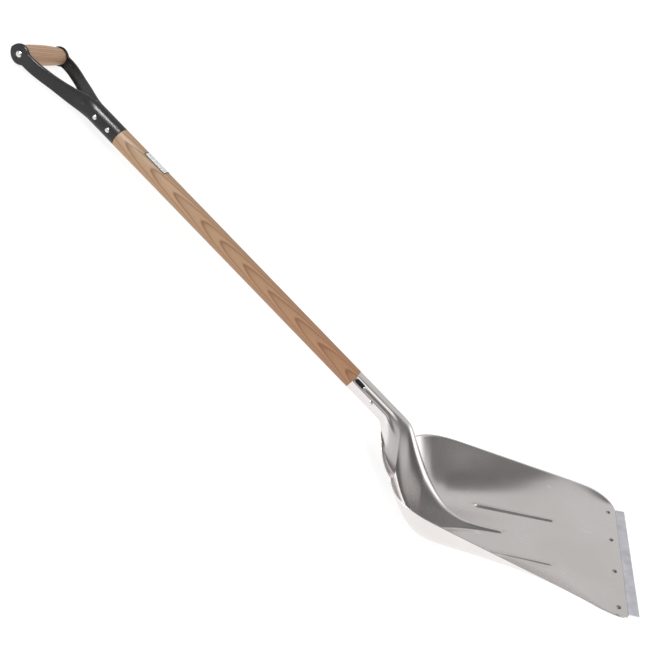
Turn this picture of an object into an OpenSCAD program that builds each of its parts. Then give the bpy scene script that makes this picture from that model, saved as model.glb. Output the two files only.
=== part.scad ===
// Snow shovel: pressed aluminium pan, wooden shaft and a D-shaped grip.
// The shovel lies on its back, bowl up, on the heel of the pan and the eyes
// of the yoke.  +X is across the pan, +Y runs from the cutting edge to the
// grip, +Z is up.  "Left" is the -X side.  Origin: bottom centre of the box.
// Most pieces are drawn in the pan frame: the flat floor of the pan is z = 0
// and the cut front edge of the sheet is y = 0.

/* [Pan] */
// Length of the pan from its front edge to the rear rim
pan_len = 378; // [345:1:440]
// Width of the straight front edge
edge_w = 300; // [240:1:370]
// Widest place, where the front corners end
front_w = 355; // [290:1:420]
// Width where the rear corners start
rear_w = 302; // [260:1:370]
// Length of the curve that cuts each front corner
corner_len = 46; // [30:1:80]
// Place where the rear corners start
rear_start = 272; // [230:1:290]
// Slope of the straight rim over the floor, degrees
rim_angle = 13.5; // [8:0.5:20]
// Quick rise of the rim behind the front edge
rim_lip = 13; // [7:0.5:16]
// Thickness of the pressed sheet
sheet_t = 2; // [1.5:0.1:3]

/* [Frog and ribs] */
// Nose of the frog, the ridge that runs from the socket into the pan
frog_nose = 181; // [150:1:210]
// Width of the frog at its foot
frog_w = 90; // [70:1:110]
// Distance of each rib from the middle
rib_x = 67.5; // [58:0.5:85]
// Front end of the ribs
rib_front = 108; // [80:1:130]
// Rear end of the ribs
rib_rear = 241; // [200:1:260]
// Width of a rib
rib_w = 14; // [9:0.5:18]
// Height of a rib
rib_h = 3; // [2:0.5:4.5]

/* [Socket] */
// Lift: angle between the shaft and the floor of the pan
lift = 40.7; // [34:0.1:46]
// Distance from the end of the pan to the socket's mouth, along the floor
mouth_out = 87; // [75:1:120]
// Length of the closed part of the socket
socket_len = 78; // [60:1:100]
// Depth of the two flutes pressed into the socket
flute_d = 3.4; // [2:0.1:4]
// Place of the flutes round the socket, degrees from the top
flute_at = 57; // [50:1:65]
// Length of the open notch at the end of each flute
notch_len = 19; // [10:1:25]

/* [Wear strip] */
// Thickness of the steel strip
strip_t = 1.5; // [1:0.1:2]
// How far the strip stands out ahead of the sheet
strip_out = 15.5; // [10:0.5:25]
// Depth of the flange under the pan
strip_flange = 24; // [20:1:35]
// Distance between two rivets
strip_pitch = 91.5; // [60:0.5:95]
// Distance of the rivets behind the front edge
strip_rivet_y = 12.2; // [9:0.1:15]

/* [Shaft] */
// Diameter of the wooden shaft
shaft_d = 36; // [32:0.5:40]
// Bare wood between the socket and the yoke
bare_len = 580; // [450:1:800]

/* [Yoke and grip] */
// Distance over the outer faces of the two eyes
eye_span = 120; // [105:1:135]
// Distance from the end of the yoke to the middle of the grip
yoke_len = 200; // [175:1:240]
// Diameter of the eyes
eye_d = 35; // [31:0.5:38]
// Depth of the turned edges round the eyes
eye_edge = 6; // [4:0.5:8]
// Width of the arms half way
arm_w = 24; // [20:0.5:28]
// Thickness of the steel
yoke_t = 1.6; // [1.2:0.1:2]
// Largest diameter of the grip
grip_d = 34.5; // [30:0.5:37]
// Diameter of the grip at its ends
grip_end_d = 28; // [24:0.5:29]

/* [Rivets] */
// Diameter of the rivets that hold the strip
strip_rivet_d = 4; // [3:0.5:5]
// Diameter of the rivets through the shaft
shaft_rivet_d = 5; // [4:0.5:6]
// Diameter of the rod through the grip
grip_rod_d = 6; // [5:0.5:8]
// Diameter of the nails that stop the grip turning
nail_d = 2; // [1.5:0.5:3]

/* [Hidden] */

fit = 0.3;                  // clearance between wood and metal
hole_fit = 0.2;             // clearance of a rivet in its hole, on the diameter
seat = 0.05;                // clearance under a rivet head

// ---- the shaft's line -------------------------------------------------------
shaft_r = shaft_d/2;
axis_cross = pan_len - 188.5; // where the shaft's line would meet the floor
mouth_y = pan_len + mouth_out;
mouth_z = (mouth_y - axis_cross)*tan(lift);
along = [0, cos(lift), sin(lift)];
normal = [0, -sin(lift), cos(lift)];
mouth = [0, mouth_y, mouth_z];
// A point given along the shaft from the socket's mouth, across and out of it
function on_shaft(u, x, n) = mouth + u*along + n*normal + [x, 0, 0];

// ---- the pan's surface --------------------------------------------------------
corner_power = 3.2;
lip_run = 25;
neck_y = pan_len - 4;       // the last upright row of the pan
function step_up(a) = a <= 0 ? 0 : a >= 1 ? 1 : a*a*(3 - 2*a);
function rim_h(y) = y*tan(rim_angle) + rim_lip*(1 - exp(-y/lip_run));
// The sides run straight together behind the front corners; the rear corners
// close them with a rounded curve.
function side_w(y) = front_w/2 + (rear_w - front_w)/2*(y - corner_len)/(rear_start - corner_len);
function to_rear(y) = max(0, (y - rear_start)/(pan_len - rear_start));
function half_w(y) =
    y < corner_len ? edge_w/2 + (front_w - edge_w)/2*sqrt(1 - pow(1 - y/corner_len, 2)) :
    side_w(y)*pow(1 - pow(to_rear(y), corner_power), 1/corner_power);
function reach(x, y) =
    y < corner_len ? abs(x)/half_w(y) :
    pow(pow(abs(x)/side_w(y), corner_power) + pow(to_rear(y), corner_power), 1/corner_power);
// The dish starts flat under the wear strip and narrows to a flat middle behind it
strip_part = 0.97;
middle_part = 0.2;
flat_run = 90;
function flat_part(y) = middle_part + (strip_part*edge_w/2/half_w(y) - middle_part)
    *(1 - step_up((y - strip_flange/2)/flat_run));
dish_power = 2.6;
function dish(x, y) = let(f = flat_part(y))
    rim_h(y)*pow(max(0, reach(x, y) - f)/(1 - f), dish_power);

// The frog climbs by a power curve and then follows the top of the socket
frog_power = 3.5;
frog_meet = pan_len - 21;
frog_round = 8;
function socket_top(y) = (y - axis_cross)*tan(lift) + shaft_r/cos(lift);
frog_rate = socket_top(frog_meet)/pow(frog_meet - frog_nose, frog_power);
function frog_top(y) = y <= frog_nose ? 0 :
    -frog_round*ln(exp(-socket_top(y)/frog_round)
        + exp(-frog_rate*pow(y - frog_nose, frog_power)/frog_round));
frog_full = pan_len - 48;
frog_tip_w = 6;
function frog_half(y) = frog_tip_w
    + (frog_w/2 - frog_tip_w)*pow(max(0, min(1, (y - frog_nose)/(frog_full - frog_nose))), 2.2);
// A low ridge carries it forward to its nose
nose_h = 4;
function nose(y) = nose_h*step_up((y - frog_nose)/15)*(1 - step_up((y - frog_nose - 50)/60));
function frog_rise(y) = max(0, frog_top(y) - dish(0, y)) + nose(y);
function bell(q) = q >= 1 ? 0 : (1 + cos(180*pow(q, 1.3)))/2;
function rib(x, y) = let(dy = max(rib_front - y, y - rib_rear, 0),
    d = norm([abs(x) - rib_x, dy])/(rib_w/2)) d >= 1 ? 0 : rib_h*(1 + cos(180*d))/2;
function pan_z(x, y) = dish(x, y) + frog_rise(y)*bell(abs(x)/frog_half(y)) + rib(x, y);

// A row of the pan: the columns share out between frog and bowl by their length
function pan_point(y, t) = let(b = frog_half(y), frog_run = b + 0.8*frog_rise(y),
    bowl_run = 1.1*(half_w(y) - b), split = frog_run/(frog_run + bowl_run), a = abs(t),
    x = a < split ? b*a/split : b + (half_w(y) - b)*(a - split)/(1 - split))
    [t < 0 ? -x : x, y, pan_z(x, y)];

// ---- the socket's surface -----------------------------------------------------
seam_half = 2;              // half the seam's gap at the back, degrees
flute_half = 21;            // half the width of a flute, degrees
notch_half = 13;            // half the width of a notch, degrees
notch_start = 3;            // metal left between the notch and the mouth
function flute(phi) = let(q = abs(phi - flute_at)/flute_half) q >= 1 ? 0
    : flute_d*(1 + cos(180*q*q))/2;
function tube_point(t) = let(phi = abs(t)*(180 - seam_half), r = shaft_r - flute(phi))
    [(t < 0 ? -1 : 1)*r*sin(phi), r*cos(phi)];
// From the last row of the pan (w = 0) to the closed socket (w = 1)
neck_u = (neck_y - mouth_y)/cos(lift);
function neck_point(w, t) = let(s = step_up(w), p = pan_point(neck_y, t),
    pan_n = (p[2] - mouth_z)*cos(lift) - (p[1] - mouth_y)*sin(lift), c = tube_point(t),
    x = p[0]*(1 - s) + c[0]*s, n = pan_n*(1 - s) + c[1]*s,
    u = neck_u*(1 - w) - socket_len*w + n*tan(lift*(1 - w)))
    on_shaft(u, x, n);

// ---- the sheet as a grid --------------------------------------------------------
cols = 48;
front_rows = 20;
rear_rows = 22;
neck_rows = 12;
tube_u = [-0.8*socket_len, -0.6*socket_len, -0.42*socket_len,
    -(notch_start + notch_len), -(notch_start + notch_len/2), -notch_start, 0];
function row_ts() = [for (j = [0:cols]) 2*j/cols - 1];
blade_grid = concat(
    [for (i = [0:front_rows - 1]) let(y = rear_start*pow(i/front_rows, 1.15))
        [for (t = row_ts()) pan_point(y, t)]],
    [for (i = [0:rear_rows]) let(y = rear_start + (neck_y - rear_start)*sin(90*i/rear_rows))
        [for (t = row_ts()) pan_point(y, t)]],
    [for (i = [1:neck_rows]) [for (t = row_ts()) neck_point(i/neck_rows, t)]],
    [for (u = tube_u) [for (t = row_ts()) let(c = tube_point(t)) on_shaft(u, c[0], c[1])]]);
notch_row = len(blade_grid) - 4;
// A notch takes out the two rows of cells nearest the mouth, across the flute
function blade_cell(i, j) = let(phi = abs((j + 0.5)*2/cols - 1)*(180 - seam_half))
    !((i == notch_row || i == notch_row + 1) && abs(phi - flute_at) < notch_half);

// A sheet solid: grid is the show side, t the thickness behind it.
// cell(i, j) says whether that cell of the grid is metal.  The cells are cut
// into triangles the same way on both sides of the middle.
function unit(v) = v/norm(v);
function grid_normal(g, i, j) = let(a = len(g) - 1, b = len(g[0]) - 1)
    unit(cross(g[i][min(j + 1, b)] - g[i][max(j - 1, 0)], g[min(i + 1, a)][j] - g[max(i - 1, 0)][j]));
function behind(g, t) = [for (i = [0:len(g) - 1]) [for (j = [0:len(g[0]) - 1])
    g[i][j] - t*grid_normal(g, i, j)]];
module sheet(g, t, cell) {
    n = len(g);
    m = len(g[0]);
    size = n*m;
    back = behind(g, t);
    points = concat([for (r = g) each r], [for (r = back) each r]);
    function metal(i, j) = i >= 0 && j >= 0 && i < n - 1 && j < m - 1 && cell(i, j);
    faces = [for (i = [0:n - 2]) for (j = [0:m - 2]) if (cell(i, j))
        let(a = i*m + j, b = a + 1, c = a + m + 1, d = a + m) each concat(
            2*j < m - 1
                ? [[a, d, b], [b, d, c], [a + size, b + size, d + size],
                    [b + size, c + size, d + size]]
                : [[a, c, b], [a, d, c], [a + size, b + size, c + size],
                    [a + size, c + size, d + size]],
            metal(i - 1, j) ? [] : [[a, b, b + size], [a, b + size, a + size]],
            metal(i + 1, j) ? [] : [[c, d, d + size], [c, d + size, c + size]],
            metal(i, j - 1) ? [] : [[d, a, a + size], [d, a + size, d + size]],
            metal(i, j + 1) ? [] : [[b, c, c + size], [b, c + size, b + size]])];
    polyhedron(points, faces, convexity = 8);
}

// ---- how the shovel lies -----------------------------------------------------------
eye_r = eye_d/2;
rest_r = max(eye_d, grip_d)/2;
grip_u = bare_len + yoke_len;
grip_mid = on_shaft(grip_u, 0, 0);
blade_back = [for (r = behind(blade_grid, sheet_t)) each r];
function lowest(tilt) = let(z = [for (p = blade_back) p[2]*cos(tilt) - p[1]*sin(tilt)],
    low = min(z)) [for (i = [0:len(z) - 1]) if (z[i] == low) blade_back[i]][0];
// The tilt that puts the heel and the eyes on one floor, found in a few passes
function level(tilt, passes) = passes == 0 ? tilt : let(h = lowest(tilt), d = grip_mid - h)
    level(atan2(d[2], d[1]) - asin(rest_r/norm([d[1], d[2]])), passes - 1);
rest = level(45, 5);
heel = lowest(rest);
function lay(p) = [p[0], p[1]*cos(rest) + p[2]*sin(rest), p[2]*cos(rest) - p[1]*sin(rest)];
front_y = min([for (r = concat([for (i = [0:4]) blade_grid[i]], [[[0, -strip_out, 0],
    [0, -strip_out, -strip_t]]])) for (p = r) lay(p)[1]]);
back_y = lay(grip_mid)[1] + rest_r;
module in_place() {
    translate([0, -(front_y + back_y)/2, -lay(heel)[2]]) rotate([-rest, 0, 0]) children();
}
// Children are drawn with z along the shaft, x across and -y out of the bowl side
module at_shaft(u) {
    translate(on_shaft(u, 0, 0)) rotate([lift - 90, 0, 0]) children();
}

// ---- blade --------------------------------------------------------------------------
module rivet_spot(i) {
    translate([(i - 2.5)*strip_pitch, strip_rivet_y, 0]) children();
}
socket_rivet_u = -48;
module blade() {
    color([0.75, 0.71, 0.70]) in_place() difference() {
        sheet(blade_grid, sheet_t, function(i, j) blade_cell(i, j));
        for (i = [1:4]) rivet_spot(i)
            cylinder(d = strip_rivet_d + hole_fit, h = 6*sheet_t, center = true, $fn = 32);
        at_shaft(socket_rivet_u) rotate([0, 90, 0])
            cylinder(d = shaft_rivet_d + hole_fit, h = 2*shaft_d, center = true, $fn = 32);
    }
}

// ---- wear strip and its rivets ---------------------------------------------------
strip_gap = 0.4;            // open line between the strip and the sheet's edge
strip_top = -sheet_t - seat;
module wear_strip() {
    color([0.72, 0.72, 0.76]) in_place() difference() {
        rotate([90, 0, 90]) linear_extrude(height = edge_w - 1, center = true) polygon([
            [-strip_out, -strip_t], [-strip_out, -0.3], [-strip_out + 1.2, 0],
            [-strip_gap, 0], [-strip_gap, strip_top], [strip_flange, strip_top],
            [strip_flange, strip_top - strip_t], [-strip_gap - strip_t, strip_top - strip_t],
            [-strip_gap - strip_t, -strip_t]]);
        for (i = [1:4]) rivet_spot(i)
            cylinder(d = strip_rivet_d + hole_fit, h = 10*sheet_t, center = true, $fn = 32);
    }
}

// A rivet along z, its shank from z = -clamp to 0 and a domed head beyond each end
module dome(d, h) {
    r = (d*d/4 + h*h)/(2*h);
    rotate_extrude($fn = 48) intersection() {
        translate([0, h - r]) circle(r = r, $fn = 96);
        square([d, h]);
    }
}
module rivet(d, head_d, head_h, clamp) {
    dome(head_d, head_h);
    translate([0, 0, -clamp]) mirror([0, 0, 1]) dome(head_d, head_h);
    translate([0, 0, -clamp - 0.1]) cylinder(d = d, h = clamp + 0.2, $fn = 32);
}
strip_head_d = 1.9*strip_rivet_d;
module strip_rivet(i) {
    color([0.62, 0.62, 0.62]) in_place() rivet_spot(i) translate([0, 0, seat])
        rivet(strip_rivet_d, strip_head_d, 2.2, sheet_t + strip_t + 3*seat);
}

// ---- shaft and the rivet in the socket ---------------------------------------------
tenon_r = shaft_r - sheet_t - fit;
tenon_len = socket_len - 3;
plug_r = shaft_r - sheet_t - flute_d - fit;
plug_len = 25;              // the taper beyond the closed part of the socket
yoke_tenon_r = shaft_r - yoke_t - fit;
yoke_tenon_len = 74;
// The flutes in the wood: round grooves just deeper than those in the sheet
flute_cut_r = 11;
flute_cut_at = plug_r + flute_cut_r;
yoke_rivet_us = [bare_len + 19, bare_len + 50];
module shaft() {
    color([0.76, 0.62, 0.47]) in_place() difference() {
        union() {
            at_shaft(fit/2) cylinder(r = shaft_r, h = bare_len - fit, $fn = 96);
            at_shaft(-tenon_len) cylinder(r = tenon_r, h = tenon_len + 1, $fn = 96);
            at_shaft(-tenon_len - plug_len)
                cylinder(r1 = 0.6*plug_r, r2 = plug_r, h = plug_len + 1, $fn = 64);
            at_shaft(bare_len - 1) cylinder(r = yoke_tenon_r, h = yoke_tenon_len + 1, $fn = 96);
        }
        for (s = [-1, 1]) at_shaft(-tenon_len) rotate([0, 0, -90 + s*flute_at])
            translate([flute_cut_at, 0, -1]) cylinder(r = flute_cut_r, h = tenon_len + 1, $fn = 64);
        for (u = concat([socket_rivet_u], yoke_rivet_us)) at_shaft(u) rotate([0, 90, 0])
            cylinder(d = shaft_rivet_d + hole_fit, h = 2*shaft_d, center = true, $fn = 32);
    }
}
module cross_rivet(u, head_d) {
    at_shaft(u) translate([shaft_r + seat, 0, 0]) rotate([0, 90, 0])
        rivet(shaft_rivet_d, head_d, 2.4, shaft_d + 2*seat);
}
module socket_rivet() {
    color([0.80, 0.80, 0.80]) in_place() cross_rivet(socket_rivet_u, 7.5);
}

// ---- yoke --------------------------------------------------------------------------
// Each half is a strap: half a tube round the wood, then an arm with turned
// edges that swings out and ends in a round eye.
yoke_tube = 60;
yoke_rows = 26;
eye_rows = 9;
yoke_cols = 24;
half_gap = 0.25;
arm_edge = 8;
function yoke_face(v) = shaft_r
    + (eye_span/2 - shaft_r)*step_up((v - yoke_tube)/(yoke_len - 22 - yoke_tube));
function arm_half(v) = shaft_r - (shaft_r - arm_w/2)*step_up((v - yoke_tube)/80);
function eye_half(v) = sqrt(max(0, eye_r*eye_r - (v - yoke_len)*(v - yoke_len)));
function yoke_half_w(v) = v > yoke_len ? eye_half(v)
    : let(a = arm_half(v), b = eye_half(v), k = 1.2) b < a - 6 ? a : k*ln(exp(a/k) + exp(b/k));
function yoke_depth(v) = let(a = step_up((v - yoke_tube)/50), b = step_up((v - 150)/30))
    (shaft_r - half_gap)*(1 - a) + (arm_edge*(1 - b) + eye_edge*b)*a;
function yoke_square(v) = 1 - 0.55*step_up((v - yoke_tube)/60);
function yoke_v() = concat([for (i = [0:yoke_rows]) (yoke_len - 16)*i/yoke_rows],
    [for (i = [1:2*eye_rows - 1]) yoke_len - eye_r*cos(20 + 160*i/(2*eye_rows) )]);
function yoke_grid(side) = [for (v = yoke_v()) [for (j = [0:yoke_cols])
    let(a = 90 - 180*j/yoke_cols, p = yoke_square(v), n = sin(a), c = max(0, cos(a)),
        d = yoke_depth(v)*(1 - pow(c, p)), w = yoke_half_w(v)*pow(abs(n), p)*(n < 0 ? -1 : 1))
    on_shaft(bare_len + v, side*(yoke_face(v) - d), side*w)]];
nail_at = 9;
module yoke_half(side) {
    difference() {
        sheet(yoke_grid(side), yoke_t, function(i, j) true);
        for (u = yoke_rivet_us) at_shaft(u) rotate([0, 90, 0])
            cylinder(d = shaft_rivet_d + hole_fit, h = 2*shaft_d, center = true, $fn = 32);
        at_shaft(grip_u) rotate([0, 90, 0])
            cylinder(d = grip_rod_d + hole_fit, h = 2*eye_span, center = true, $fn = 32);
        for (n = [-nail_at, nail_at]) at_shaft(grip_u) translate([0, n, 0]) rotate([0, 90, 0])
            cylinder(d = nail_d + hole_fit, h = 2*eye_span, center = true, $fn = 24);
    }
}
module yoke_left() {
    color([0.24, 0.24, 0.25]) in_place() yoke_half(-1);
}
module yoke_right() {
    color([0.24, 0.24, 0.25]) in_place() yoke_half(1);
}
module yoke_rivet_lower() {
    color([0.80, 0.80, 0.80]) in_place() cross_rivet(yoke_rivet_us[0], 8.5);
}
module yoke_rivet_upper() {
    color([0.80, 0.80, 0.80]) in_place() cross_rivet(yoke_rivet_us[1], 8.5);
}

// ---- grip ---------------------------------------------------------------------------
grip_half = eye_span/2 - yoke_t - fit;
end_bevel = 3;                                  // bevel that clears the turned edge of an eye
grip_shoulder = eye_span/2 - eye_edge - 1.5;    // the turned end starts here
grip_neck_r = grip_d/2 - 2.2;                   // barrel radius beside the turned end
nail_len = 14;
grip_arc = (pow(grip_shoulder - 2, 2) + pow(grip_d/2 - grip_neck_r, 2))/(2*(grip_d/2 - grip_neck_r));
module grip() {
    color([0.76, 0.60, 0.47]) in_place() difference() {
        at_shaft(grip_u) rotate([0, 90, 0]) union() {
            rotate_extrude($fn = 96) intersection() {
                translate([grip_d/2 - grip_arc, 0]) circle(r = grip_arc, $fn = 360);
                polygon([[0, -grip_shoulder], [grip_end_d/2, -grip_shoulder],
                    [grip_neck_r, 2 - grip_shoulder], [grip_d/2 + 1, 3 - grip_shoulder],
                    [grip_d/2 + 1, grip_shoulder - 3], [grip_neck_r, grip_shoulder - 2],
                    [grip_end_d/2, grip_shoulder], [0, grip_shoulder]]);
            }
            rotate_extrude($fn = 96) polygon([[0, -grip_half], [grip_end_d/2 - end_bevel, -grip_half],
                [grip_end_d/2, end_bevel - grip_half], [grip_end_d/2, grip_half - end_bevel],
                [grip_end_d/2 - end_bevel, grip_half], [0, grip_half]]);
        }
        at_shaft(grip_u) rotate([0, 90, 0])
            cylinder(d = grip_rod_d + hole_fit, h = 2*eye_span, center = true, $fn = 32);
        for (n = [-nail_at, nail_at], s = [-1, 1])
            at_shaft(grip_u) translate([s*eye_span/2, n, 0]) rotate([0, 90, 0])
                cylinder(d = nail_d + hole_fit, h = 2*nail_len + 2, center = true, $fn = 24);
    }
}
module grip_rod() {
    color([0.80, 0.80, 0.80]) in_place() at_shaft(grip_u) translate([eye_span/2 + seat, 0, 0])
        rotate([0, 90, 0]) rivet(grip_rod_d, 11, 3, eye_span + 2*seat);
}
// Nails 1 and 2 hold the left eye, 3 and 4 the right one
module grip_nail(i) {
    side = i < 3 ? -1 : 1;
    place = i%2 == 1 ? -nail_at : nail_at;
    color([0.25, 0.25, 0.26]) in_place() at_shaft(grip_u)
        translate([side*eye_span/2, place, 0]) rotate([0, side*90, 0]) {
            translate([0, 0, -nail_len]) cylinder(d = nail_d, h = nail_len, $fn = 24);
            translate([0, 0, seat]) dome(1.6*nail_d, 0.6);
            translate([0, 0, -0.1]) cylinder(d = nail_d, h = 0.2 + seat, $fn = 24);
        }
}

// ---- label ----------------------------------------------------------------------------
label_t = 0.2;
label_len = 50;
label_u = bare_len - 104;
label_turn = 90;            // how far it wraps round the shaft, degrees
label_mid = 13;             // its middle, degrees right of the top
label_gap = 0.1;            // glue under the label
module label() {
    color([0.93, 0.93, 0.92]) in_place() at_shaft(label_u)
        rotate([0, 0, -90 + label_mid - label_turn/2])
        rotate_extrude(angle = label_turn, $fn = 96) translate([shaft_r + label_gap, 0])
        square([label_t, label_len]);
}

blade();
wear_strip();
strip_rivet(1);  // strip_rivet_1
strip_rivet(2);  // strip_rivet_2
strip_rivet(3);  // strip_rivet_3
strip_rivet(4);  // strip_rivet_4
shaft();
socket_rivet();
yoke_left();
yoke_right();
yoke_rivet_lower();
yoke_rivet_upper();
grip();
grip_rod();
grip_nail(1);  // grip_nail_1
grip_nail(2);  // grip_nail_2
grip_nail(3);  // grip_nail_3
grip_nail(4);  // grip_nail_4
label();
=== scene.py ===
import math

import bmesh
import bpy
import numpy as np
from mathutils import Matrix, Vector


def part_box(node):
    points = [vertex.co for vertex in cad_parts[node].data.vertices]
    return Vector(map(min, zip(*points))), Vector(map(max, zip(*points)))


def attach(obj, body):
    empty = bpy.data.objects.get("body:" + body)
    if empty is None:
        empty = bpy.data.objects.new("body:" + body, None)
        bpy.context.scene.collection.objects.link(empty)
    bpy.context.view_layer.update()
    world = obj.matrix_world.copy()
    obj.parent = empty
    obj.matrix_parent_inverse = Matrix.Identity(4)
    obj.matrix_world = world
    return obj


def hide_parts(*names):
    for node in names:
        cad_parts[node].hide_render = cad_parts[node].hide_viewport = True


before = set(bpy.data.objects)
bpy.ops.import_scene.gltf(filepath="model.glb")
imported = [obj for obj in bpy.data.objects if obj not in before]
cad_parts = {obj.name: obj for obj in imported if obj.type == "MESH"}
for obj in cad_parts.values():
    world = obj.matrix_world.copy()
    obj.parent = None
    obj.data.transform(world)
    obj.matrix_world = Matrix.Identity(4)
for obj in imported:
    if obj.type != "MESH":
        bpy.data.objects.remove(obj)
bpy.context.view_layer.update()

# ---- how the shovel lies ----------------------------------------------------
# The pan is drawn flat, with its cut front edge at y = 0, and then turned back
# and set down with the rest.  The rivets in the socket and the grip give the
# turn: both lie on the middle line of the shaft.
lift = math.radians(40.7)  # angle between the shaft and the floor of the pan
mouth_y = 0.465  # the socket's mouth, from the front edge
axis_cross = 0.1895  # where the shaft's line would meet the floor of the pan
socket_rivet_u = -0.048  # the socket's rivet, along the shaft from the mouth
mouth = Vector((0, mouth_y, (mouth_y - axis_cross) * math.tan(lift)))
along = Vector((0, math.cos(lift), math.sin(lift)))
out = Vector((0, -math.sin(lift), math.cos(lift)))


def middle(node):
    low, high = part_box(node)
    return (Vector(low) + Vector(high)) / 2


socket_rivet_at = mouth + socket_rivet_u * along
shaft_line = middle("grip_rod") - middle("socket_rivet")
rest = lift - math.atan2(shaft_line.z, shaft_line.y)
lay_down = Matrix.Rotation(-rest, 4, "X")
lay_down.translation = middle("socket_rivet") - lay_down @ socket_rivet_at


def set_down(points):
    """Points of the flat-lying pan, carried to where the shovel lies."""
    m = np.array(lay_down)
    return points @ m[:3, :3].T + m[:3, 3]


# ---- camera and white studio --------------------------------------------------
# A view down on the shovel from its left side, turned so that the shaft runs
# corner to corner.  The floor and the walls are plain white; darker sides of
# the room give the metal its darks, and a small lamp the paint its highlight.
eye = lay_down @ Vector((-1.1986, 0.1899, 0.7345))
ahead = lay_down.to_3x3() @ Vector((0.9157, 0.2793, -0.2888))
up = lay_down.to_3x3() @ Vector((0.2636, 0.1248, 0.9565))
ahead.normalize()
right = ahead.cross(up).normalized()
up = right.cross(ahead)
camera = bpy.data.objects.new("camera", bpy.data.cameras.new("camera"))
bpy.context.collection.objects.link(camera)
camera.matrix_world = Matrix.Translation(eye) @ Matrix((right, up, -ahead)).transposed().to_4x4()
camera.data.sensor_width = 36
camera.data.lens = 42.5908
camera.data.shift_x = 0.029
camera.data.shift_y = -0.030
camera.data.clip_end = 50
bpy.context.scene.camera = camera
bpy.context.scene.view_settings.view_transform = "Standard"

floor_mesh = bpy.data.meshes.new("studio_floor")
floor_r, floor_z, floor_corners = 6, -0.0006, 64
turns = [2 * math.pi * i / floor_corners for i in range(floor_corners)]
ring = [(floor_r * math.cos(a), floor_r * math.sin(a), floor_z) for a in turns]
floor_mesh.from_pydata(ring, [], [list(range(floor_corners))])
studio_floor = bpy.data.objects.new("studio_floor", floor_mesh)
bpy.context.collection.objects.link(studio_floor)
white_floor = bpy.data.materials.new("white_floor")
white_floor.use_nodes = True
floor_nodes = white_floor.node_tree.nodes
floor_shader = floor_nodes["Principled BSDF"]
floor_shader.inputs["Base Color"].default_value = (0.35, 0.35, 0.35, 1)
floor_shader.inputs["Roughness"].default_value = 0.9
floor_shader.inputs["Specular IOR Level"].default_value = 0.0
floor_shader.inputs["Emission Color"].default_value = (1, 1, 1, 1)
floor_shader.inputs["Emission Strength"].default_value = 0.78
floor_mesh.materials.append(white_floor)

room = bpy.data.worlds.new("studio_room")
bpy.context.scene.world = room
room.use_nodes = True
room_nodes = room.node_tree.nodes
room_links = room.node_tree.links
room_nodes.clear()


def room_node(kind, **values):
    made = room_nodes.new(kind)
    for name, value in values.items():
        setattr(made, name, value)
    return made


room_out = room_node("ShaderNodeOutputWorld")
room_light = room_node("ShaderNodeBackground")
room_light.inputs["Color"].default_value = (1, 1, 1, 1)
room_links.new(room_light.outputs[0], room_out.inputs[0])
look_way = room_node("ShaderNodeTexCoord")


def side_of_room(azimuth, height, near, far):
    """1 where one looks toward that side of the room, falling softly to 0."""
    turn, rise = math.radians(azimuth), math.radians(height)
    dot = room_node("ShaderNodeVectorMath", operation="DOT_PRODUCT")
    dot.inputs[1].default_value = (
        math.sin(turn) * math.cos(rise), math.cos(turn) * math.cos(rise), math.sin(rise))
    room_links.new(look_way.outputs["Generated"], dot.inputs[0])
    fall = room_node("ShaderNodeMapRange", interpolation_type="SMOOTHSTEP")
    fall.inputs["From Min"].default_value = math.cos(math.radians(far))
    fall.inputs["From Max"].default_value = math.cos(math.radians(near))
    room_links.new(dot.outputs["Value"], fall.inputs["Value"])
    return fall.outputs["Result"]


def mix_levels(mask, first, second):
    """One level of light turning into another by a mask."""
    mix = room_node("ShaderNodeMix", data_type="FLOAT")
    room_links.new(mask, mix.inputs["Factor"])
    for socket, level in ((mix.inputs[2], first), (mix.inputs[3], second)):
        if isinstance(level, float):
            socket.default_value = level
        else:
            room_links.new(level, socket)
    return mix.outputs[0]


# Sides of the room that gloss can see: turn from +Y and height over the floor,
# the angles over which each fades, and its level.  One is bright, three dark.
room_level = 0.63
for azimuth, height, near, far, level in (
        (147, 33, 10, 30, 1.8),
        (-90, 58, 26, 38, 0.20),
        (-24, 43, 15, 26, 0.14),
        (-160, 32, 18, 34, 0.10)):
    room_level = mix_levels(side_of_room(azimuth, height, near, far), room_level, level)
soft_level, backdrop_level = 0.80, 1.05
ray = room_node("ShaderNodeLightPath")
lit = mix_levels(ray.outputs["Is Glossy Ray"], soft_level, room_level)
seen = mix_levels(ray.outputs["Is Camera Ray"], lit, backdrop_level)
room_links.new(seen, room_light.inputs["Strength"])


def hang_lamp(name, place, toward, size, watts, in_gloss):
    """An area lamp that lights either the gloss or everything but the gloss."""
    lamp = bpy.data.objects.new(name, bpy.data.lights.new(name, "AREA"))
    lamp.data.shape = "RECTANGLE"
    lamp.data.size, lamp.data.size_y = size
    lamp.data.energy = watts
    lamp.location = place
    lamp.rotation_mode = "QUATERNION"
    lamp.rotation_quaternion = (Vector(toward) - Vector(place)).to_track_quat("-Z", "Y")
    lamp.visible_glossy = in_gloss
    lamp.visible_diffuse = not in_gloss
    lamp.visible_camera = False
    bpy.context.collection.objects.link(lamp)


hang_lamp("window_lamp", (-1.6, -0.4, 2.4), (0, 0, 0), (1.6, 1.6), 22, False)
hang_lamp("strip_lamp", (-0.25, 0.72, 0.39), (0, 0.50, 0.03), (0.09, 0.25), 5.0, True)


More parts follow.
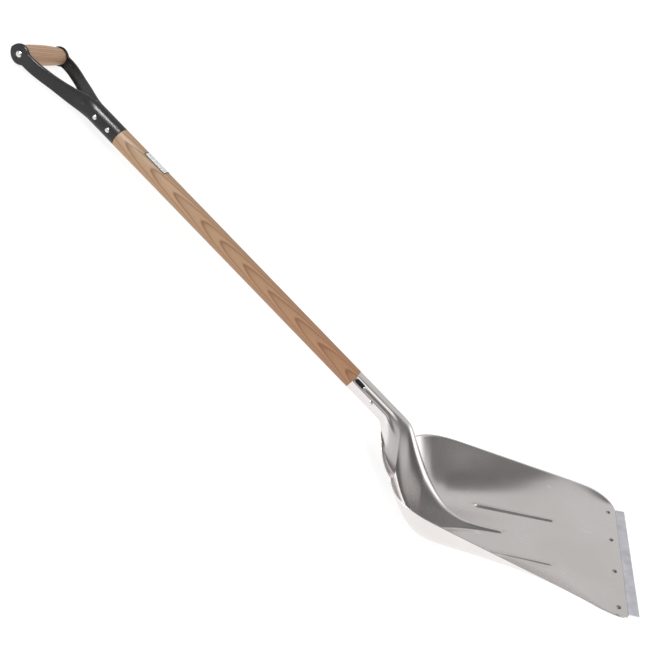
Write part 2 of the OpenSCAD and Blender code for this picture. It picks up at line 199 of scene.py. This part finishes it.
# ---- blade ----------------------------------------------------------------------
# One aluminium sheet, 2 mm thick, pressed into a pan with a turned-up rim, two
# ribs, and a frog that runs back into the round socket.  The socket has two
# flutes that open into notches near its mouth, and a seam at the back.
pan_len, edge_w, front_w, rear_w, sheet_t = 0.378, 0.300, 0.355, 0.302, 0.002
corner_len, rear_start, corner_power = 0.046, 0.272, 3.2
rim_slope, rim_lip, lip_run = math.tan(math.radians(13.5)), 0.013, 0.025
strip_part, middle_part, flat_start, flat_run, dish_power = 0.97, 0.2, 0.012, 0.090, 2.6
frog_nose, frog_w, frog_tip_w, frog_meet, frog_full = 0.181, 0.090, 0.006, 0.357, 0.330
frog_power, frog_round, nose_h = 3.5, 0.008, 0.004
rib_x, rib_front, rib_rear, rib_w, rib_h = 0.0675, 0.108, 0.241, 0.014, 0.0038
socket_len, shaft_r, neck_y = 0.078, 0.018, 0.374
seam_at, flute_at, flute_half, flute_d, notch_half = 178, 57, 21, 0.0034, 13


def step_up(a):
    a = np.clip(a, 0, 1)
    return a * a * (3 - 2 * a)


def rim_height(y):
    return y * rim_slope + rim_lip * (1 - np.exp(-y / lip_run))


def side_width(y):
    return front_w / 2 + (rear_w - front_w) / 2 * (y - corner_len) / (rear_start - corner_len)


def to_rear(y):
    return np.clip((y - rear_start) / (pan_len - rear_start), 0, None)


def half_width(y):
    """Half the width of the pan: round front corners, tapering sides, round rear."""
    corner = 1 - np.minimum(y, corner_len) / corner_len
    front = edge_w / 2 + (front_w - edge_w) / 2 * np.sqrt(np.maximum(0, 1 - corner ** 2))
    closed = 1 - np.minimum(to_rear(y), 1) ** corner_power
    return np.where(y < corner_len, front, side_width(y) * closed ** (1 / corner_power))


def reach(x, y):
    """How far a point lies from the middle of the pan (0) to its rim (1)."""
    across = (np.abs(x) / side_width(y)) ** corner_power
    rear = (across + to_rear(y) ** corner_power) ** (1 / corner_power)
    return np.where(y < corner_len, np.abs(x) / half_width(y), rear)


def dish(x, y):
    """The bowl's height: flat under the strip, then rising to the rim."""
    under_strip = strip_part * edge_w / 2 / np.maximum(half_width(y), 1e-6)
    flat = middle_part + (under_strip - middle_part) * (1 - step_up((y - flat_start) / flat_run))
    return rim_height(y) * (np.maximum(0, reach(x, y) - flat) / (1 - flat)) ** dish_power


def socket_top(y):
    return (y - axis_cross) * math.tan(lift) + shaft_r / math.cos(lift)


def frog_top(y):
    """The frog climbs by a power curve and then follows the top of the socket."""
    rate = socket_top(frog_meet) / (frog_meet - frog_nose) ** frog_power
    climb = rate * np.maximum(0, y - frog_nose) ** frog_power
    both = np.exp(-socket_top(y) / frog_round) + np.exp(-climb / frog_round)
    return np.where(y <= frog_nose, 0, -frog_round * np.log(both))


def frog_half(y):
    grown = np.clip((y - frog_nose) / (frog_full - frog_nose), 0, 1) ** 2.2
    return frog_tip_w + (frog_w / 2 - frog_tip_w) * grown


def frog_rise(y):
    """The frog's height over the bowl, with a low ridge at its nose."""
    behind_nose = y - frog_nose
    nose = nose_h * step_up(behind_nose / 0.015) * (1 - step_up((behind_nose - 0.050) / 0.060))
    return np.maximum(0, frog_top(y) - dish(np.zeros_like(y), y)) + nose


def pan_height(x, y):
    q = np.clip(np.abs(x) / frog_half(y), 0, 1)
    beyond = np.maximum(np.maximum(rib_front - y, y - rib_rear), 0)
    d = np.clip(np.hypot(np.abs(x) - rib_x, beyond) / (rib_w / 2), 0, 1)
    rib = rib_h * (1 + np.cos(np.pi * d)) / 2
    return dish(x, y) + frog_rise(y) * (1 + np.cos(np.pi * q ** 1.3)) / 2 + rib


def pan_row(y, t):
    """A row of the pan; its columns share out between the frog and the bowl."""
    y = np.full_like(t, y)
    b = frog_half(y)
    run = b + 0.8 * frog_rise(y)
    split = run / (run + 1.1 * (half_width(y) - b))
    a = np.abs(t)
    x = np.where(a < split, b * a / split, b + (half_width(y) - b) * (a - split) / (1 - split))
    x = np.where(t < 0, -x, x)
    return np.stack([x, y, pan_height(x, y)], 1)


def tube_row(t):
    """The socket's section: x and height over its middle line."""
    phi = np.abs(t) * math.radians(seam_at)
    q = np.clip(np.abs(phi - math.radians(flute_at)) / math.radians(flute_half), 0, 1)
    r = shaft_r - flute_d * (1 + np.cos(np.pi * q * q)) / 2
    return np.where(t < 0, -1, 1) * r * np.sin(phi), r * np.cos(phi)


def neck_row(w, t):
    """A row between the last of the pan (w = 0) and the closed socket (w = 1)."""
    s = float(step_up(w))
    pan = pan_row(neck_y, t)
    pan_out = (pan[:, 2] - mouth.z) * math.cos(lift) - (pan[:, 1] - mouth.y) * math.sin(lift)
    tube_x, tube_out = tube_row(t)
    x = pan[:, 0] * (1 - s) + tube_x * s
    n = pan_out * (1 - s) + tube_out * s
    u = (neck_y - mouth.y) / math.cos(lift) * (1 - w) - socket_len * w + n * math.tan(lift * (1 - w))
    return at_shaft(u, x, n)


def at_shaft(u, x, n):
    """Points given along the shaft from the mouth, across and out of it."""
    u, x, n = np.broadcast_arrays(np.asarray(u, float), np.asarray(x, float), np.asarray(n, float))
    return (np.array(mouth) + u[:, None] * np.array(along) + n[:, None] * np.array(out)
            + x[:, None] * np.array((1.0, 0.0, 0.0)))


def thick_sheet(name, show, thickness, cut=None):
    """A sheet of metal from the grid of its show side, with rounded edges all round."""
    across = np.gradient(show, axis=1)
    down = np.gradient(show, axis=0)
    normal = np.cross(across, down)
    normal /= np.maximum(np.linalg.norm(normal, axis=2, keepdims=True), 1e-12)
    rows, cols = show.shape[:2]
    size = rows * cols
    back = show - thickness * normal
    whole = np.ones((rows - 1, cols - 1), bool) if cut is None else ~cut
    faces = []
    edges = {}
    for i, j in zip(*np.nonzero(whole)):
        a = int(i) * cols + int(j)
        b, c, d = a + 1, a + cols + 1, a + cols
        faces.append((a, d, c, b))
        faces.append((a + size, b + size, c + size, d + size))
        for p, q in ((a, b), (b, c), (c, d), (d, a)):
            if (q, p) in edges:
                del edges[(q, p)]
            else:
                edges[(p, q)] = True
    points = np.concatenate([show.reshape(-1, 3), back.reshape(-1, 3)])
    lean = {}
    flat = points.copy()
    normals = normal.reshape(-1, 3)
    for p, q in edges:
        side = np.cross(flat[q] - flat[p], normals[p])
        side /= max(np.linalg.norm(side), 1e-12)
        for v in (p, q):
            lean[v] = lean.get(v, 0) + side
    rim = {}
    more = []
    for v, way in lean.items():
        way = way / max(np.linalg.norm(way), 1e-12)
        rim[v] = 2 * size + len(more)
        more.append((flat[v] + flat[v + size]) / 2 + 0.35 * thickness * way)
    for p, q in edges:
        faces.append((p, q, rim[q], rim[p]))
        faces.append((rim[p], rim[q], q + size, p + size))
    points = set_down(np.concatenate([points, np.array(more)]))
    mesh = bpy.data.meshes.new(name)
    mesh.from_pydata(points.tolist(), [], faces)
    made = bmesh.new()
    made.from_mesh(mesh)
    bmesh.ops.delete(made, geom=[v for v in made.verts if not v.link_faces], context="VERTS")
    bmesh.ops.recalc_face_normals(made, faces=made.faces)
    made.to_mesh(mesh)
    made.free()
    mesh.shade_smooth()
    piece = bpy.data.objects.new(name, mesh)
    bpy.context.collection.objects.link(piece)
    return piece


cols, front_rows, rear_rows, neck_rows = 178, 70, 80, 36
t_row = np.linspace(-1, 1, cols + 1)
rear_len = neck_y - rear_start
blade_rows = [pan_row(rear_start * (i / front_rows) ** 1.15, t_row) for i in range(front_rows)]
blade_rows += [pan_row(rear_start + rear_len * math.sin(math.pi / 2 * i / rear_rows), t_row)
               for i in range(rear_rows + 1)]
blade_rows += [neck_row(i / neck_rows, t_row) for i in range(1, neck_rows + 1)]
tube_us = [-0.0624, -0.0468, -0.0328, -0.022, -0.0157, -0.0093, -0.003, 0.0]
blade_rows += [at_shaft(u, *tube_row(t_row)) for u in tube_us]
blade_grid = np.array(blade_rows)
notch = np.zeros((len(blade_rows) - 1, cols), bool)
cell_phi = np.abs((t_row[1:] + t_row[:-1]) / 2) * seam_at
notch[len(blade_rows) - 5:len(blade_rows) - 2] = np.abs(cell_phi - flute_at) < notch_half
pressed_blade = thick_sheet("pressed_blade", blade_grid, sheet_t, notch)
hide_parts("blade")
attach(pressed_blade, "root")


def new_material(name):
    material = bpy.data.materials.new(name)
    material.use_nodes = True
    return material, material.node_tree.nodes, material.node_tree.links, \
        material.node_tree.nodes["Principled BSDF"]


def new_group(name, inputs, outputs):
    """A shader node group with named sockets: its tree, entry and exit."""
    tree = bpy.data.node_groups.new(name, "ShaderNodeTree")
    for label, kind, value in inputs:
        made = tree.interface.new_socket(label, in_out="INPUT", socket_type=kind)
        if value is not None:
            made.default_value = value
    for label, kind in outputs:
        tree.interface.new_socket(label, in_out="OUTPUT", socket_type=kind)
    return tree, tree.nodes.new("NodeGroupInput"), tree.nodes.new("NodeGroupOutput")


# Handling marks: cloudy stains and fine short scratches in worked metal.
marks_tree, marks_in, marks_out = new_group(
    "metal_marks",
    [("Cloud Scale", "NodeSocketFloat", 14.0), ("Scratch Scale", "NodeSocketFloat", 60.0),
     ("Scratch Amount", "NodeSocketFloat", 0.5)],
    [("Clouds", "NodeSocketFloat"), ("Scratches", "NodeSocketFloat"), ("Grain", "NodeSocketFloat")])
marks_where = marks_tree.nodes.new("ShaderNodeTexCoord")
marks_cloud = marks_tree.nodes.new("ShaderNodeTexNoise")
marks_cloud.inputs["Detail"].default_value = 4
marks_tree.links.new(marks_where.outputs["Object"], marks_cloud.inputs["Vector"])
marks_tree.links.new(marks_in.outputs["Cloud Scale"], marks_cloud.inputs["Scale"])
marks_tree.links.new(marks_cloud.outputs["Fac"], marks_out.inputs["Clouds"])
marks_turn = marks_tree.nodes.new("ShaderNodeMapping")
marks_turn.inputs["Rotation"].default_value = (0.6, 0.3, 0.5)
marks_turn.inputs["Scale"].default_value = (1.0, 0.18, 0.6)
marks_tree.links.new(marks_where.outputs["Object"], marks_turn.inputs["Vector"])
marks_line = marks_tree.nodes.new("ShaderNodeTexNoise")
marks_line.inputs["Detail"].default_value = 1
marks_tree.links.new(marks_turn.outputs[0], marks_line.inputs["Vector"])
marks_tree.links.new(marks_in.outputs["Scratch Scale"], marks_line.inputs["Scale"])
marks_thin = marks_tree.nodes.new("ShaderNodeMapRange")
marks_thin.inputs["From Min"].default_value = 0.70
marks_thin.inputs["From Max"].default_value = 0.78
marks_tree.links.new(marks_line.outputs["Fac"], marks_thin.inputs["Value"])
marks_some = marks_tree.nodes.new("ShaderNodeMath")
marks_some.operation = "MULTIPLY"
marks_tree.links.new(marks_thin.outputs["Result"], marks_some.inputs[0])
marks_tree.links.new(marks_in.outputs["Scratch Amount"], marks_some.inputs[1])
marks_tree.links.new(marks_some.outputs[0], marks_out.inputs["Scratches"])
marks_grain = marks_tree.nodes.new("ShaderNodeTexNoise")
marks_grain.inputs["Scale"].default_value = 1400
marks_grain.inputs["Detail"].default_value = 2
marks_tree.links.new(marks_where.outputs["Object"], marks_grain.inputs["Vector"])
marks_tree.links.new(marks_grain.outputs["Fac"], marks_out.inputs["Grain"])


def place_group(nodes, tree, **values):
    placed = nodes.new("ShaderNodeGroup")
    placed.node_tree = tree
    for label, value in values.items():
        placed.inputs[label.replace("_", " ")].default_value = value
    return placed


def blend_colours(nodes, links, mask, first, second):
    """Mixes two colours, each a tuple or a socket, by a mask."""
    mix = nodes.new("ShaderNodeMix")
    mix.data_type = "RGBA"
    links.new(mask, mix.inputs["Factor"])
    for socket, value in ((mix.inputs[6], first), (mix.inputs[7], second)):
        if isinstance(value, tuple):
            socket.default_value = (*value, 1)
        else:
            links.new(value, socket)
    return mix.outputs[2]


def to_range(nodes, links, value, low, high, start=0.0, end=1.0):
    """Carries a value from start..end over to low..high."""
    spread = nodes.new("ShaderNodeMapRange")
    spread.inputs["From Min"].default_value = start
    spread.inputs["From Max"].default_value = end
    spread.inputs["To Min"].default_value = low
    spread.inputs["To Max"].default_value = high
    links.new(value, spread.inputs["Value"])
    return spread.outputs["Result"]


def rough_from(nodes, links, shader, value, smooth, rough):
    """Lets a noise between 0.3 and 0.7 carry the roughness from smooth to rough."""
    links.new(to_range(nodes, links, value, smooth, rough, 0.3, 0.7), shader.inputs["Roughness"])


def bump_from(nodes, links, shader, height, distance, strength=1.0):
    bump = nodes.new("ShaderNodeBump")
    bump.inputs["Distance"].default_value = distance
    bump.inputs["Strength"].default_value = strength
    links.new(height, bump.inputs["Height"])
    links.new(bump.outputs["Normal"], shader.inputs["Normal"])


aluminium, nodes, links, shader = new_material("pressed_aluminium")
shader.inputs["Metallic"].default_value = 1.0
marks = place_group(nodes, marks_tree, Cloud_Scale=9.0, Scratch_Scale=95.0, Scratch_Amount=0.32)
clouded = to_range(nodes, links, marks.outputs["Clouds"], 0, 1, 0.35, 0.65)
tone = blend_colours(nodes, links, clouded, (0.76, 0.72, 0.705), (0.81, 0.775, 0.76))
marked = blend_colours(nodes, links, marks.outputs["Scratches"], tone, (0.95, 0.94, 0.93))
links.new(marked, shader.inputs["Base Color"])
rough_from(nodes, links, shader, marks.outputs["Clouds"], 0.20, 0.30)
bump_from(nodes, links, shader, marks.outputs["Grain"], 0.00002, 0.6)
pressed_blade.data.materials.append(aluminium)

# ---- wear strip -------------------------------------------------------------------
# A folded strip of galvanised steel along the cutting edge.  Its front stands
# flush with the pan and its flange runs back underneath, held by four rivets.
zinc, nodes, links, shader = new_material("galvanised_steel")
shader.inputs["Metallic"].default_value = 0.9
marks = place_group(nodes, marks_tree, Cloud_Scale=55.0, Scratch_Scale=160.0, Scratch_Amount=0.6)
clouded = to_range(nodes, links, marks.outputs["Clouds"], 0, 1, 0.35, 0.65)
tone = blend_colours(nodes, links, clouded, (0.60, 0.60, 0.64), (0.76, 0.76, 0.81))
marked = blend_colours(nodes, links, marks.outputs["Scratches"], tone, (0.85, 0.85, 0.88))
links.new(marked, shader.inputs["Base Color"])
rough_from(nodes, links, shader, marks.outputs["Clouds"], 0.36, 0.52)
bump_from(nodes, links, shader, marks.outputs["Grain"], 0.00004, 0.6)


def finish_node(name, material):
    """Gives a carried CAD node its finish."""
    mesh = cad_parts[name].data
    mesh.materials.clear()
    mesh.materials.append(material)


finish_node("wear_strip", zinc)

# ---- rivets and grip rod ------------------------------------------------------------
# Bright steel rivets with domed heads: four through the strip and the pan, one
# through the socket, two through the yoke, and the long rod through the grip.
bright, nodes, links, shader = new_material("bright_rivet_steel")
shader.inputs["Metallic"].default_value = 1.0
marks = place_group(nodes, marks_tree, Cloud_Scale=220.0, Scratch_Scale=500.0, Scratch_Amount=0.5)
links.new(blend_colours(nodes, links, to_range(nodes, links, marks.outputs["Clouds"], 0, 1, 0.3, 0.7),
                        (0.62, 0.62, 0.61), (0.82, 0.82, 0.80)), shader.inputs["Base Color"])
rough_from(nodes, links, shader, marks.outputs["Clouds"], 0.20, 0.36)
bump_from(nodes, links, shader, marks.outputs["Grain"], 0.00004, 0.5)
for name in ("socket_rivet", "yoke_rivet_lower", "yoke_rivet_upper", "grip_rod"):
    finish_node(name, bright)

dull, nodes, links, shader = new_material("dull_rivet_steel")
shader.inputs["Metallic"].default_value = 1.0
marks = place_group(nodes, marks_tree, Cloud_Scale=220.0, Scratch_Scale=500.0, Scratch_Amount=0.5)
links.new(blend_colours(nodes, links, to_range(nodes, links, marks.outputs["Clouds"], 0, 1, 0.3, 0.7),
                        (0.20, 0.195, 0.19), (0.34, 0.335, 0.33)), shader.inputs["Base Color"])
rough_from(nodes, links, shader, marks.outputs["Clouds"], 0.24, 0.4)
bump_from(nodes, links, shader, marks.outputs["Grain"], 0.00004, 0.5)
for i in range(1, 5):
    finish_node(f"strip_rivet_{i}", dull)

# ---- shaft ----------------------------------------------------------------------------
# A turned and lacquered ash pole.  The year rings run a little out of line with
# the pole, so they show as long nested arches on its sides.
rings_tree, rings_in, rings_out = new_group(
    "ash_rings",
    [("Vector", "NodeSocketVector", None), ("Heart", "NodeSocketVector", None),
     ("Runout", "NodeSocketVector", None), ("Ring Width", "NodeSocketFloat", 0.003),
     ("Waviness", "NodeSocketFloat", 0.0015)],
    [("Late Wood", "NodeSocketFloat"), ("Ring Tone", "NodeSocketFloat"), ("Pores", "NodeSocketFloat")])


def ring_node(kind, **values):
    made = rings_tree.nodes.new(kind)
    for name, value in values.items():
        setattr(made, name, value)
    return made


split = ring_node("ShaderNodeSeparateXYZ")
rings_tree.links.new(rings_in.outputs["Vector"], split.inputs[0])
lean = ring_node("ShaderNodeVectorMath", operation="SCALE")
rings_tree.links.new(rings_in.outputs["Runout"], lean.inputs[0])
rings_tree.links.new(split.outputs["Z"], lean.inputs["Scale"])
heart = ring_node("ShaderNodeVectorMath", operation="ADD")
rings_tree.links.new(rings_in.outputs["Heart"], heart.inputs[0])
rings_tree.links.new(lean.outputs[0], heart.inputs[1])
slow = ring_node("ShaderNodeMapping")
slow.inputs["Scale"].default_value = (30, 30, 7)
rings_tree.links.new(rings_in.outputs["Vector"], slow.inputs["Vector"])
wave = ring_node("ShaderNodeTexNoise")
wave.inputs["Scale"].default_value = 1.0
wave.inputs["Detail"].default_value = 2
rings_tree.links.new(slow.outputs[0], wave.inputs["Vector"])
from_heart = ring_node("ShaderNodeVectorMath", operation="SUBTRACT")
rings_tree.links.new(rings_in.outputs["Vector"], from_heart.inputs[0])
rings_tree.links.new(heart.outputs[0], from_heart.inputs[1])
flatten = ring_node("ShaderNodeVectorMath", operation="MULTIPLY")
flatten.inputs[1].default_value = (1, 1, 0)
rings_tree.links.new(from_heart.outputs[0], flatten.inputs[0])
radius = ring_node("ShaderNodeVectorMath", operation="LENGTH")
rings_tree.links.new(flatten.outputs[0], radius.inputs[0])
sway = ring_node("ShaderNodeMath", operation="MULTIPLY")
rings_tree.links.new(wave.outputs["Fac"], sway.inputs[0])
rings_tree.links.new(rings_in.outputs["Waviness"], sway.inputs[1])
swayed = ring_node("ShaderNodeMath", operation="ADD")
rings_tree.links.new(radius.outputs["Value"], swayed.inputs[0])
rings_tree.links.new(sway.outputs[0], swayed.inputs[1])
count = ring_node("ShaderNodeMath", operation="DIVIDE")
rings_tree.links.new(swayed.outputs[0], count.inputs[0])
rings_tree.links.new(rings_in.outputs["Ring Width"], count.inputs[1])
year = ring_node("ShaderNodeMath", operation="FLOOR")
rings_tree.links.new(count.outputs[0], year.inputs[0])
part = ring_node("ShaderNodeMath", operation="FRACT")
rings_tree.links.new(count.outputs[0], part.inputs[0])
late = ring_node("ShaderNodeValToRGB")
late.color_ramp.elements[0].position = 0.0
late.color_ramp.elements[0].color = (0.25, 0.25, 0.25, 1)
late.color_ramp.elements[1].position = 1.0
late.color_ramp.elements[1].color = (0.25, 0.25, 0.25, 1)
for place, tone in ((0.06, 0.95), (0.14, 0.80), (0.30, 0.32), (0.60, 0.08), (0.94, 0.02)):
    stop = late.color_ramp.elements.new(place)
    stop.color = (tone, tone, tone, 1)
rings_tree.links.new(part.outputs[0], late.inputs["Fac"])
rings_tree.links.new(late.outputs["Color"], rings_out.inputs["Late Wood"])
tone = ring_node("ShaderNodeTexWhiteNoise", noise_dimensions="1D")
rings_tree.links.new(year.outputs[0], tone.inputs["W"])
rings_tree.links.new(tone.outputs["Value"], rings_out.inputs["Ring Tone"])
fibre = ring_node("ShaderNodeMapping")
fibre.inputs["Scale"].default_value = (1600, 1600, 45)
rings_tree.links.new(rings_in.outputs["Vector"], fibre.inputs["Vector"])
pores = ring_node("ShaderNodeTexNoise")
pores.inputs["Scale"].default_value = 1.0
pores.inputs["Detail"].default_value = 3
rings_tree.links.new(fibre.outputs[0], pores.inputs["Vector"])
rings_tree.links.new(pores.outputs["Fac"], rings_out.inputs["Pores"])


def ash_wood(name, place, turn, heart_at, runout, ring_width, waviness, colours, red_end=0.0):
    """Ash with its grain along the local z of the given place and turn."""
    material, nodes, links, shader = new_material(name)
    where = nodes.new("ShaderNodeTexCoord")
    move = nodes.new("ShaderNodeVectorMath")
    move.operation = "SUBTRACT"
    move.inputs[1].default_value = place
    links.new(where.outputs["Object"], move.inputs[0])
    line_up = nodes.new("ShaderNodeMapping")
    line_up.vector_type = "POINT"
    line_up.inputs["Rotation"].default_value = turn
    links.new(move.outputs[0], line_up.inputs["Vector"])
    rings = place_group(nodes, rings_tree, Heart=heart_at, Runout=runout,
                        Ring_Width=ring_width, Waviness=waviness)
    links.new(line_up.outputs[0], rings.inputs["Vector"])
    pale, warm, late_tone, red = colours
    base = blend_colours(nodes, links, rings.outputs["Ring Tone"], pale, warm)
    if red_end:
        # reddish toward the socket; the wood inside the socket is painted near black further down, as
        # painted shade
        parts = nodes.new("ShaderNodeSeparateXYZ")
        links.new(line_up.outputs[0], parts.inputs[0])
        reddened = to_range(nodes, links, parts.outputs["Z"], 0.75, 0, 0, red_end)
        base = blend_colours(nodes, links, reddened, base, red)
    late_mask = to_range(nodes, links, rings.outputs["Late Wood"], 0, 0.85)
    wood = blend_colours(nodes, links, late_mask, base, late_tone)
    pore_mask = to_range(nodes, links, rings.outputs["Pores"], 0, 0.30, 0.52, 0.80)
    wood = blend_colours(nodes, links, pore_mask, wood, tuple(0.55 * c for c in late_tone))
    if red_end:
        # painted shade: the wood inside the socket is painted near black, standing in for the dark
        # hollow seen through the notches
        painted_socket_shade = to_range(nodes, links, parts.outputs["Z"], 1, 0, -0.0012, -0.0002)
        wood = blend_colours(nodes, links, painted_socket_shade, wood, (0.012, 0.011, 0.011))
    links.new(wood, shader.inputs["Base Color"])
    rough_from(nodes, links, shader, rings.outputs["Pores"], 0.42, 0.62)
    shader.inputs["Coat Weight"].default_value = 0.15
    shader.inputs["Coat Roughness"].default_value = 0.35
    shader.inputs["Specular IOR Level"].default_value = 0.35
    bump_from(nodes, links, shader, rings.outputs["Pores"], 0.00012, 0.5)
    return material


shaft_start = lay_down @ mouth
shaft_turn = math.atan2(shaft_line.y, shaft_line.z)
# red_end reddens the wood toward the socket and also paints the wood inside the socket near black as
# painted shade
shaft_ash = ash_wood(
    "lacquered_ash_shaft", shaft_start, (shaft_turn, 0, 0), (0.047, 0.022, 0.0), (-0.040, -0.019, 0.0),
    0.0026, 0.0034,
    ((0.45, 0.295, 0.175), (0.49, 0.315, 0.185), (0.21, 0.09, 0.038), (0.36, 0.17, 0.085)), red_end=0.50)
finish_node("shaft", shaft_ash)

# ---- yoke ---------------------------------------------------------------------------------
# Two straps of pressed steel, powder coated dark grey.  Together they close
# round the end of the shaft, then swing apart and end in the eyes of the grip.
yoke_tube, yoke_len, yoke_t, bare_len = 0.060, 0.200, 0.0016, 0.580
eye_span, eye_r, arm_w = 0.120, 0.0175, 0.024


def yoke_half_width(v):
    arm = shaft_r - (shaft_r - arm_w / 2) * step_up((v - yoke_tube) / 0.080)
    eye_part = np.sqrt(np.maximum(0, eye_r ** 2 - (v - yoke_len) ** 2))
    k = 0.0012
    joined = np.where(eye_part < arm - 0.006, arm, k * np.log(np.exp(arm / k) + np.exp(eye_part / k)))
    return np.where(v > yoke_len, eye_part, joined)


def yoke_row(side, v, angle):
    face = shaft_r + (eye_span / 2 - shaft_r) * step_up((v - yoke_tube) / (yoke_len - 0.022 - yoke_tube))
    a, b = step_up((v - yoke_tube) / 0.050), step_up((v - 0.150) / 0.030)
    depth = (shaft_r - 0.00025) * (1 - a) + (0.008 * (1 - b) + 0.006 * b) * a
    p = 1 - 0.55 * step_up((v - yoke_tube) / 0.060)
    d = depth * (1 - np.maximum(0, np.cos(angle)) ** p)
    w = yoke_half_width(v) * np.abs(np.sin(angle)) ** p * np.sign(np.sin(angle))
    return at_shaft(bare_len + v, side * (face - d), side * w)


coat, nodes, links, shader = new_material("grey_powder_coat")
where = nodes.new("ShaderNodeTexCoord")
peel = nodes.new("ShaderNodeTexNoise")
peel.inputs["Scale"].default_value = 900
peel.inputs["Detail"].default_value = 2
links.new(where.outputs["Object"], peel.inputs["Vector"])
marks = place_group(nodes, marks_tree, Cloud_Scale=30.0, Scratch_Scale=260.0, Scratch_Amount=0.35)
clouded = to_range(nodes, links, marks.outputs["Clouds"], 0, 1, 0.35, 0.65)
tone = blend_colours(nodes, links, clouded, (0.028, 0.027, 0.028), (0.036, 0.035, 0.036))
marked = blend_colours(nodes, links, marks.outputs["Scratches"], tone, (0.14, 0.14, 0.14))
links.new(marked, shader.inputs["Base Color"])
rough_from(nodes, links, shader, marks.outputs["Clouds"], 0.24, 0.34)
shader.inputs["Specular IOR Level"].default_value = 0.22
bump_from(nodes, links, shader, peel.outputs["Fac"], 0.00006, 0.5)
section = np.linspace(math.pi / 2, -math.pi / 2, 65)
yoke_vs = list(np.linspace(0, yoke_len - 0.014, 90)) + [
    yoke_len - eye_r * math.cos(math.radians(a)) for a in np.linspace(38, 178, 60)]
for side, strap_name, node_name in (
        (-1, "yoke_strap_left", "yoke_left"), (1, "yoke_strap_right", "yoke_right")):
    grid = np.array([yoke_row(side, np.full_like(section, v), section) for v in yoke_vs])
    strap = thick_sheet(strap_name, grid, yoke_t)
    strap.data.materials.append(coat)
    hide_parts(node_name)
    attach(strap, "root")

# ---- grip nails --------------------------------------------------------------------------
# Two short nails through each eye stop the wooden grip from turning.  They are
# driven after painting and blackened.
black, nodes, links, shader = new_material("blackened_nails")
shader.inputs["Metallic"].default_value = 0.6
marks = place_group(nodes, marks_tree, Cloud_Scale=400.0, Scratch_Scale=700.0, Scratch_Amount=0.2)
links.new(blend_colours(nodes, links, to_range(nodes, links, marks.outputs["Clouds"], 0, 1, 0.3, 0.7),
                        (0.012, 0.012, 0.013), (0.03, 0.03, 0.03)), shader.inputs["Base Color"])
rough_from(nodes, links, shader, marks.outputs["Clouds"], 0.4, 0.6)
bump_from(nodes, links, shader, marks.outputs["Grain"], 0.00004, 0.5)
for i in range(1, 5):
    finish_node(f"grip_nail_{i}", black)

# ---- grip ------------------------------------------------------------------------------------
# A turned ash cross-grip, barrel shaped, with its grain running from eye to eye.
grip_ash = ash_wood(
    "lacquered_ash_grip", middle("grip"), (0, math.pi / 2, 0), (0.060, 0.028, 0.0), (0.01, 0.004, 0.0),
    0.0030, 0.0015,
    ((0.46, 0.285, 0.175), (0.52, 0.34, 0.22), (0.25, 0.12, 0.062), (0.4, 0.2, 0.1)))
finish_node("grip", grip_ash)

# ---- label --------------------------------------------------------------------------------------
# A paper sticker round the top of the shaft, white with a dark border.  Its
# print is only rows of plain grey bars.
paper, nodes, links, shader = new_material("printed_label")
where = nodes.new("ShaderNodeTexCoord")
move = nodes.new("ShaderNodeVectorMath")
move.operation = "SUBTRACT"
move.inputs[1].default_value = shaft_start
links.new(where.outputs["Object"], move.inputs[0])
line_up = nodes.new("ShaderNodeMapping")
line_up.inputs["Rotation"].default_value = (shaft_turn, 0, 0)
links.new(move.outputs[0], line_up.inputs["Vector"])
parts = nodes.new("ShaderNodeSeparateXYZ")
links.new(line_up.outputs[0], parts.inputs[0])


def label_math(operation, first, second=None):
    made = nodes.new("ShaderNodeMath")
    made.operation = operation
    for socket, value in zip(made.inputs, (first, second)):
        if isinstance(value, (int, float)):
            socket.default_value = value
        elif value is not None:
            links.new(value, socket)
    return made.outputs[0]


label_at, label_turn = 0.501, math.radians(13)
plain_len, plain_w = 2 * 0.0234, 2 * 0.0124
round_shaft = label_math("ARCTAN2", parts.outputs["X"], label_math("MULTIPLY", parts.outputs["Y"], -1))
across_label = label_math("MULTIPLY", label_math("SUBTRACT", round_shaft, label_turn), shaft_r)
along_label = label_math("SUBTRACT", parts.outputs["Z"], label_at)
border_u = label_math("GREATER_THAN", label_math("ABSOLUTE", along_label), plain_len / 2)
border_x = label_math("GREATER_THAN", label_math("ABSOLUTE", across_label), plain_w / 2)
border = label_math("MAXIMUM", border_u, border_x)
line_no = label_math("MULTIPLY", across_label, 340)
in_line = label_math("LESS_THAN", label_math("FRACT", line_no), 0.42)
word = nodes.new("ShaderNodeTexWhiteNoise")
word.noise_dimensions = "2D"
joined = nodes.new("ShaderNodeCombineXYZ")
links.new(label_math("FLOOR", label_math("MULTIPLY", parts.outputs["Z"], 380)), joined.inputs[0])
links.new(label_math("FLOOR", line_no), joined.inputs[1])
links.new(joined.outputs[0], word.inputs["Vector"])
printed = label_math("MULTIPLY", in_line, label_math("GREATER_THAN", word.outputs["Value"], 0.35))
paper_colour = blend_colours(nodes, links, printed, (0.80, 0.80, 0.79), (0.36, 0.38, 0.40))
label_colour = blend_colours(nodes, links, border, paper_colour, (0.035, 0.033, 0.033))
links.new(label_colour, shader.inputs["Base Color"])
paper_fibre = nodes.new("ShaderNodeTexNoise")
paper_fibre.inputs["Scale"].default_value = 1800
links.new(where.outputs["Object"], paper_fibre.inputs["Vector"])
rough_from(nodes, links, shader, paper_fibre.outputs["Fac"], 0.45, 0.6)
bump_from(nodes, links, shader, paper_fibre.outputs["Fac"], 0.00003, 0.4)
finish_node("label", paper)

bpy.context.view_layer.update()
